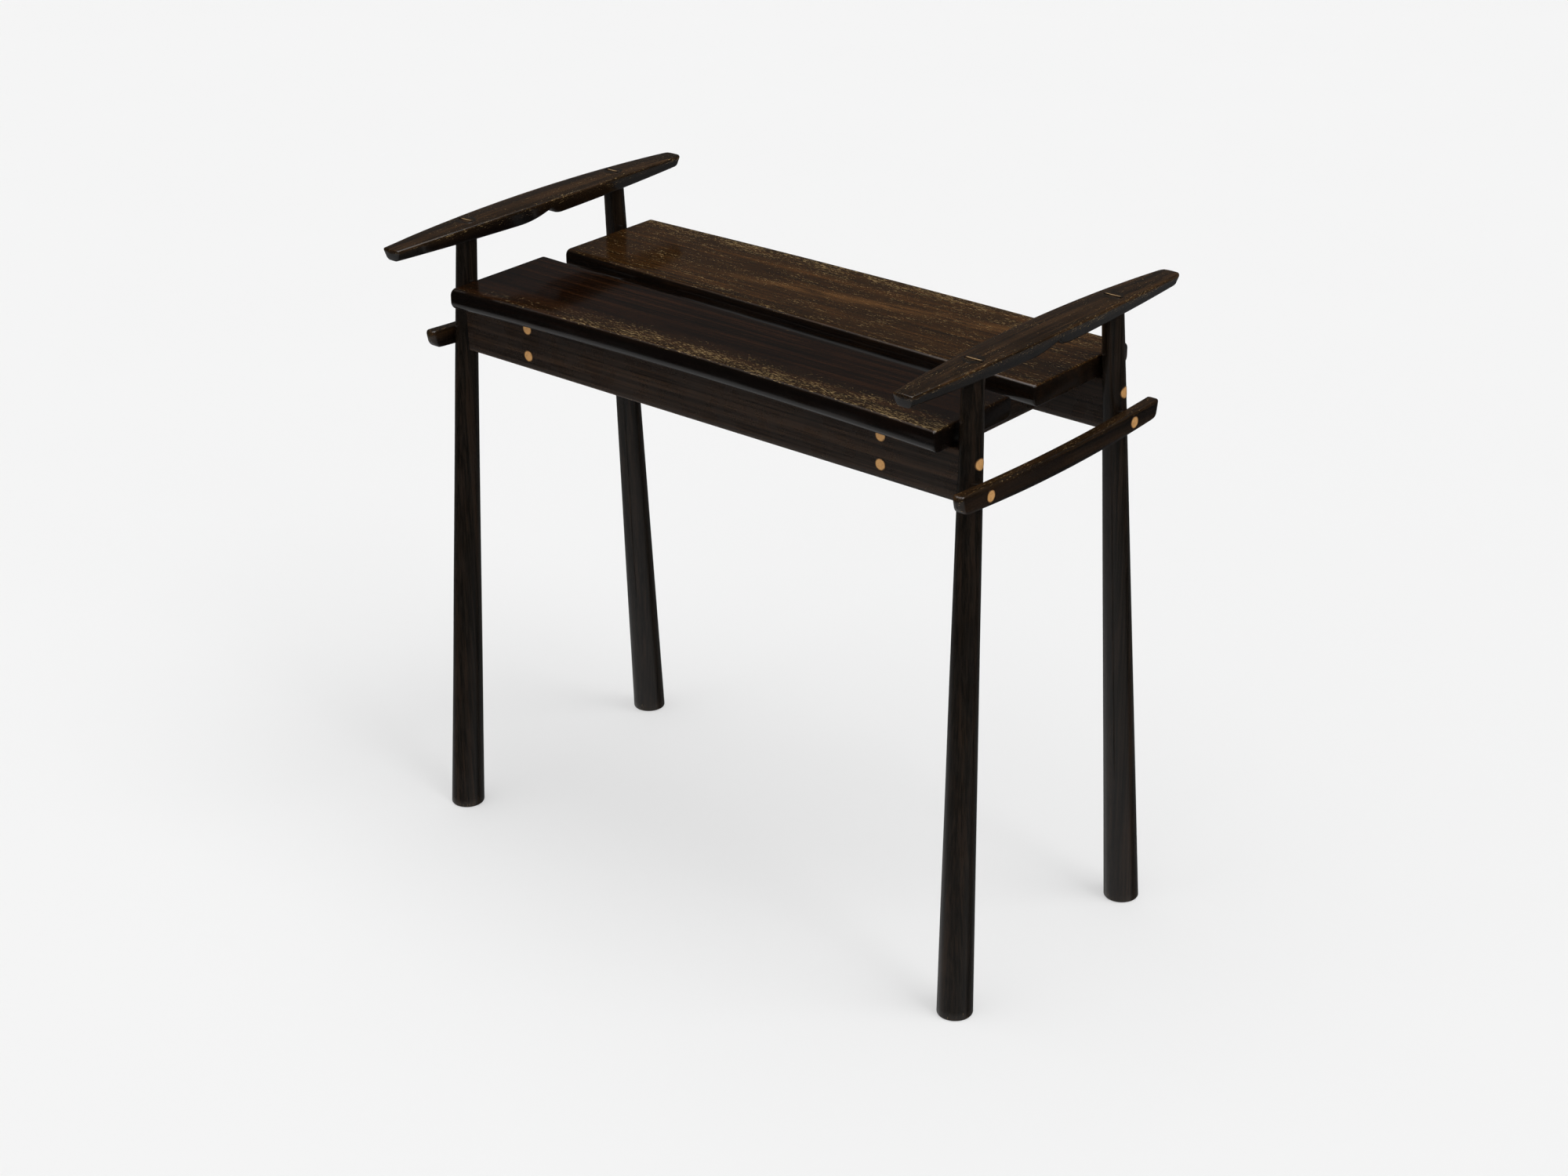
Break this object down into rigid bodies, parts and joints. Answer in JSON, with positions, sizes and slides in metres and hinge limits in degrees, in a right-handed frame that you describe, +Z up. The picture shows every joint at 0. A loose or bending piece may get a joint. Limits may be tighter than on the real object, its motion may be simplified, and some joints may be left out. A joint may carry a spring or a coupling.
{
  "type": "stool",
  "caption": "Low two-plank wooden seat on splayed round legs that rise past its ends to carry a slim handrail at each side, joined with pegs and wedges.",
  "frame": {"origin": "on the floor under the middle of the stool", "axes": "+X along the seat to the right, +Y from the front to the back, +Z up"},
  "size_m": [0.5054, 0.3034, 0.4735],
  "materials": {
    "seat_wood": "polished dark lacquer, worn along the edges",
    "frame_wood": "satin dark lacquer",
    "leg_wood": "polished dark lacquer",
    "rail_wood": "polished dark lacquer",
    "peg_wood": "satin pale wood",
    "wedge_wood": "satin pale wood"
  },
  "bodies": {
    "root": {"seat_plank_front": "seat_wood", "apron_front": "frame_wood", "leg_front_left": "leg_wood", "leg_wedge_front_left": "wedge_wood", "leg_peg_front_left": "peg_wood", "stretcher_peg_front_left": "peg_wood", "apron_peg_front_left_low": "peg_wood", "apron_peg_front_left_high": "peg_wood", "seat_dowel_apron_front_left": "peg_wood", "seat_dowel_batten_front_left": "peg_wood", "leg_front_right": "leg_wood", "leg_wedge_front_right": "wedge_wood", "leg_peg_front_right": "peg_wood", "stretcher_peg_front_right": "peg_wood", "apron_peg_front_right_low": "peg_wood", "apron_peg_front_right_high": "peg_wood", "seat_dowel_apron_front_right": "peg_wood", "seat_dowel_batten_front_right": "peg_wood", "seat_plank_back": "seat_wood", "apron_back": "frame_wood", "leg_back_left": "leg_wood", "leg_wedge_back_left": "wedge_wood", "leg_peg_back_left": "peg_wood", "stretcher_peg_back_left": "peg_wood", "apron_peg_back_left_low": "peg_wood", "apron_peg_back_left_high": "peg_wood", "seat_dowel_apron_back_left": "peg_wood", "seat_dowel_batten_back_left": "peg_wood", "leg_back_right": "leg_wood", "leg_wedge_back_right": "wedge_wood", "leg_peg_back_right": "peg_wood", "stretcher_peg_back_right": "peg_wood", "apron_peg_back_right_low": "peg_wood", "apron_peg_back_right_high": "peg_wood", "seat_dowel_apron_back_right": "peg_wood", "seat_dowel_batten_back_right": "peg_wood", "batten_left": "frame_wood", "stretcher_left": "frame_wood", "handrail_left": "rail_wood", "batten_right": "frame_wood", "stretcher_right": "frame_wood", "handrail_right": "rail_wood"}
  },
  "joints": []
}
